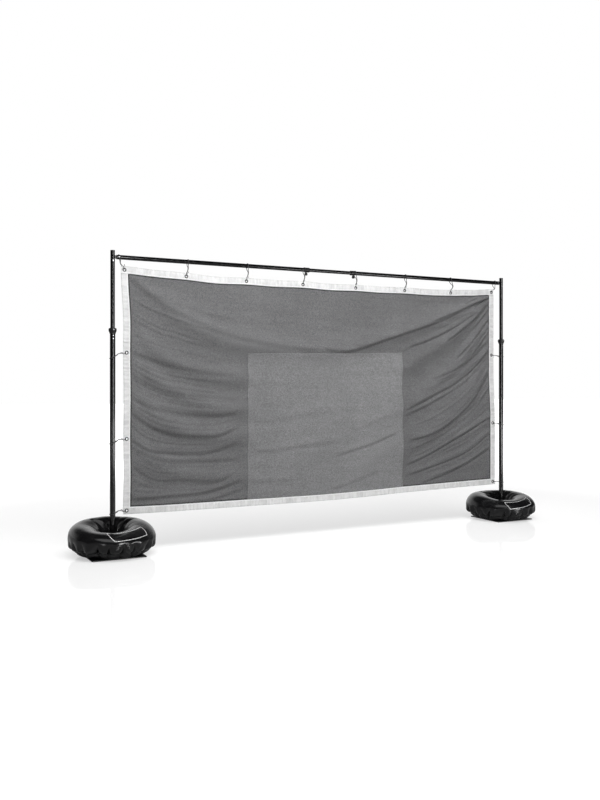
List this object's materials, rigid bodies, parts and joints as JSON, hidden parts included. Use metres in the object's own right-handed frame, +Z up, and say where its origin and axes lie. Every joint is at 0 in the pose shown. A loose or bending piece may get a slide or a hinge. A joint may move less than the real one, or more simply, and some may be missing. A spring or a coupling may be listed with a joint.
{
  "type": "pitching target net",
  "caption": "Free-standing practice net with a target panel, hung by elastic ties from two telescoping uprights and a crossbar on weighted round bases.",
  "frame": {"origin": "on the floor, midway between the two uprights", "axes": "+X along the crossbar to the right, +Z up, the target panel's front faces -Y"},
  "size_m": [4.1, 0.6, 2.134],
  "materials": {
    "frame_black": "satin black enamel",
    "clamp_black": "satin black nylon",
    "hook_steel": "black zinc",
    "bright_steel": "bright zinc",
    "lock_brass": "plain brass",
    "bush_plastic": "plain nylon",
    "ring_vinyl": "glossy black vinyl, filled with water",
    "valve_plastic": "black vinyl",
    "mesh_black": "fine black mesh",
    "mesh_grey": "grey mesh of a second layer",
    "hem_white": "white woven webbing",
    "grommet_metal": "dark nickel",
    "tie_elastic": "black elastic cord"
  },
  "bodies": {
    "base": {"base_plate_L": "frame_black", "base_plate_R": "frame_black", "base_pin_L": "frame_black", "base_pin_R": "frame_black", "lower_tube_L": "frame_black", "lower_tube_R": "frame_black", "collar_L": "clamp_black", "collar_R": "clamp_black", "base_bolts": "bright_steel", "collar_rivets": "bright_steel", "lock_ring_L": "lock_brass", "lock_ring_R": "lock_brass", "weight_ring_L": "ring_vinyl", "weight_ring_R": "ring_vinyl", "valve_neck_L": "valve_plastic", "valve_neck_R": "valve_plastic", "net_mesh": "mesh_black", "target_panel": "mesh_grey", "hem_top": "hem_white", "hem_bottom": "hem_white", "hem_left": "hem_white", "hem_right": "hem_white", "top_grommets": "grommet_metal", "side_grommets": "grommet_metal", "side_ties_L": "tie_elastic", "side_ties_R": "tie_elastic"},
    "top": {"upper_tube_L": "frame_black", "upper_tube_R": "frame_black", "guide_bush_L": "bush_plastic", "guide_bush_R": "bush_plastic", "seat_pin_L": "bright_steel", "seat_pin_R": "bright_steel", "crossbar_tube_L": "frame_black", "crossbar_tube_R": "frame_black", "crossbar_centre_tube": "frame_black", "clamp_sleeve_L": "clamp_black", "clamp_sleeve_R": "clamp_black", "bar_end_plug_L": "clamp_black", "bar_end_plug_R": "clamp_black", "hook_blade_L": "hook_steel", "hook_blade_R": "hook_steel", "hook_rivets": "bright_steel", "top_ties": "tie_elastic"},
    "lock_button_L": {"lock_button_L": "bright_steel"},
    "lock_button_R": {"lock_button_R": "bright_steel"},
    "thumb_screw_L": {"thumb_screw_L": "clamp_black"},
    "thumb_screw_R": {"thumb_screw_R": "clamp_black"},
    "valve_cap_L": {"valve_cap_L": "valve_plastic"},
    "valve_cap_R": {"valve_cap_R": "valve_plastic"}
  },
  "joints": [
    {"name": "height_slide", "type": "slide", "parent": "base", "child": "top", "axis": [0, 0, 1], "range_m": [-0.45, 0], "deforming": ["top_ties"]},
    {"name": "lock_button_L_press", "type": "slide", "parent": "base", "child": "lock_button_L", "axis": [0, 1, 0], "range_m": [0, 0.003], "stiffness_N_per_m": 900, "springref_m": -0.002},
    {"name": "thumb_screw_L_turn", "type": "hinge", "parent": "top", "child": "thumb_screw_L", "pos_m": [-0.216, 0, 2.066], "axis": [0, 0, -1], "range_deg": [0, 360]},
    {"name": "valve_cap_L_turn", "type": "hinge", "parent": "base", "child": "valve_cap_L", "pos_m": [-1.75, 0.1088, 0.197], "axis": [0, -0.7071, 0.7071], "range_deg": [0, 360]},
    {"name": "lock_button_R_press", "type": "slide", "parent": "base", "child": "lock_button_R", "axis": [0, 1, 0], "range_m": [0, 0.003], "stiffness_N_per_m": 900, "springref_m": -0.002},
    {"name": "thumb_screw_R_turn", "type": "hinge", "parent": "top", "child": "thumb_screw_R", "pos_m": [0.216, 0, 2.066], "axis": [0, 0, -1], "range_deg": [0, 360]},
    {"name": "valve_cap_R_turn", "type": "hinge", "parent": "base", "child": "valve_cap_R", "pos_m": [1.75, 0.1088, 0.197], "axis": [0, -0.7071, 0.7071], "range_deg": [0, 360]}
  ]
}
